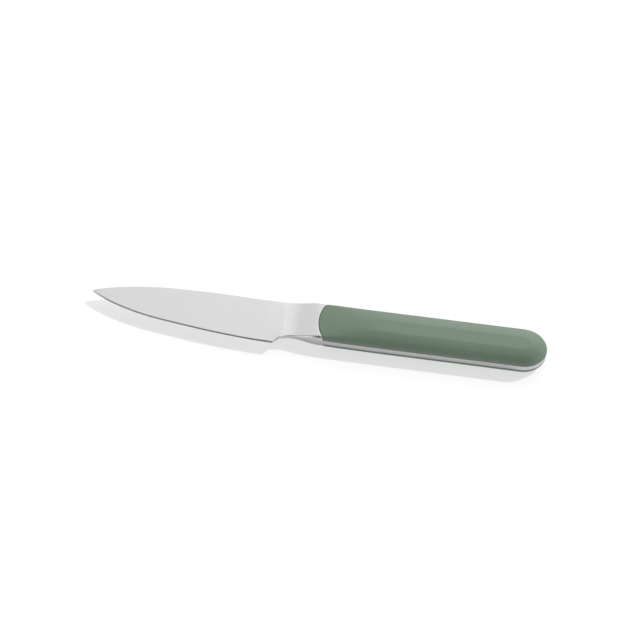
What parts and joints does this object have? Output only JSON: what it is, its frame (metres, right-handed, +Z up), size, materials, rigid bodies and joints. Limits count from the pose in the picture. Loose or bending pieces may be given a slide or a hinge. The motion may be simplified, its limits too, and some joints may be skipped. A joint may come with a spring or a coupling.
{
  "type": "paring knife",
  "caption": "Small forged paring knife with a brushed steel blade, integral bolster, full tang and two smooth moulded handle scales, lying on its side.",
  "frame": {"origin": "middle of the knife's length and depth, at the level of the surface that it lies on", "axes": "+X along the knife towards the butt, the tip at -X; +Y towards the spine, the cutting edge at -Y; +Z up, out of the left face of the blade"},
  "size_m": [0.223, 0.0234, 0.0146],
  "materials": {
    "blade_steel": "satin brushed blade, finer satin on the bolster",
    "handle_plastic": "sage green moulded plastic with a soft sheen",
    "bond": "cured structural adhesive",
    "pin_steel": "plain drawn steel"
  },
  "bodies": {
    "root": {"blade_and_tang": "blade_steel", "left_scale": "handle_plastic", "right_scale": "handle_plastic", "left_bond_film": "bond", "right_bond_film": "bond", "front_pin": "pin_steel", "middle_pin": "pin_steel", "rear_pin": "pin_steel"}
  },
  "joints": []
}
